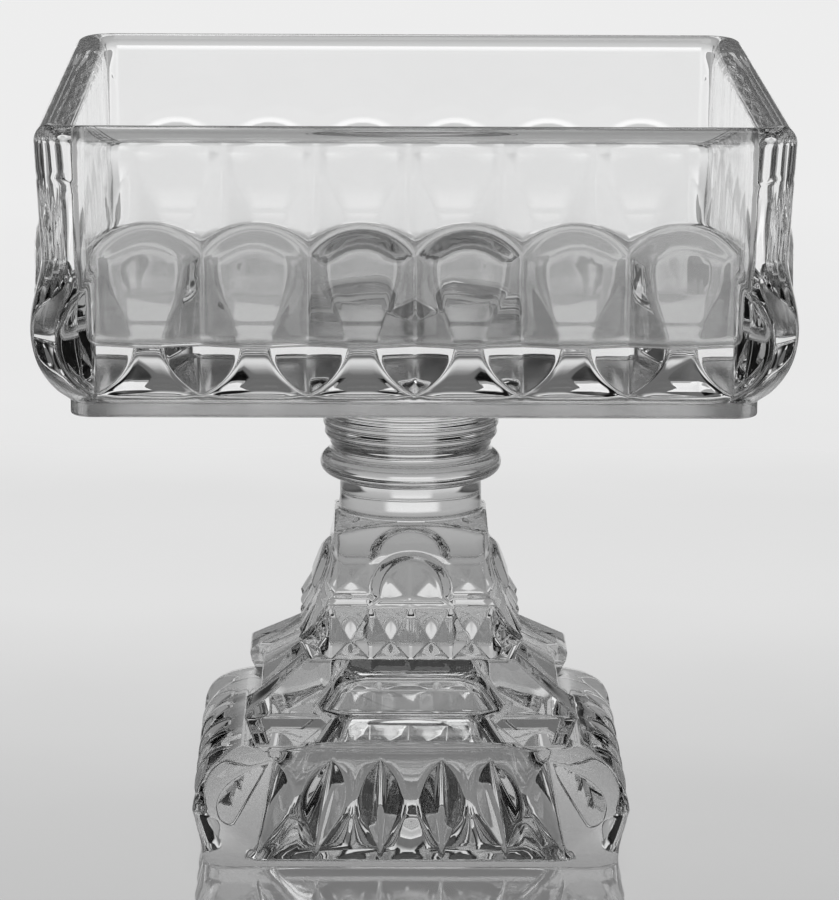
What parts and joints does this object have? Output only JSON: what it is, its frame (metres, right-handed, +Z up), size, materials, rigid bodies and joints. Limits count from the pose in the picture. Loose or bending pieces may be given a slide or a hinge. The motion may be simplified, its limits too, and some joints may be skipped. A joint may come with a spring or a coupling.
{
  "type": "wedding bowl",
  "caption": "Square pressed-glass wedding bowl with dome-headed pillars round its roll, welded by a ringed collar to a square ribbed pedestal foot.",
  "frame": {"origin": "middle of the foot's underside, on the table", "axes": "+Z up through the stem; the four sides face +X, -X, +Y and -Y"},
  "size_m": [0.1556, 0.1556, 0.1631],
  "materials": {
    "bowl_glass": "clear pressed glass, fire polished",
    "collar_glass": "clear glass, fire polished, faint turning rings",
    "foot_glass": "clear pressed glass, fire polished"
  },
  "bodies": {
    "root": {"bowl": "bowl_glass", "stem_collar": "collar_glass", "pedestal_foot": "foot_glass"}
  },
  "joints": []
}
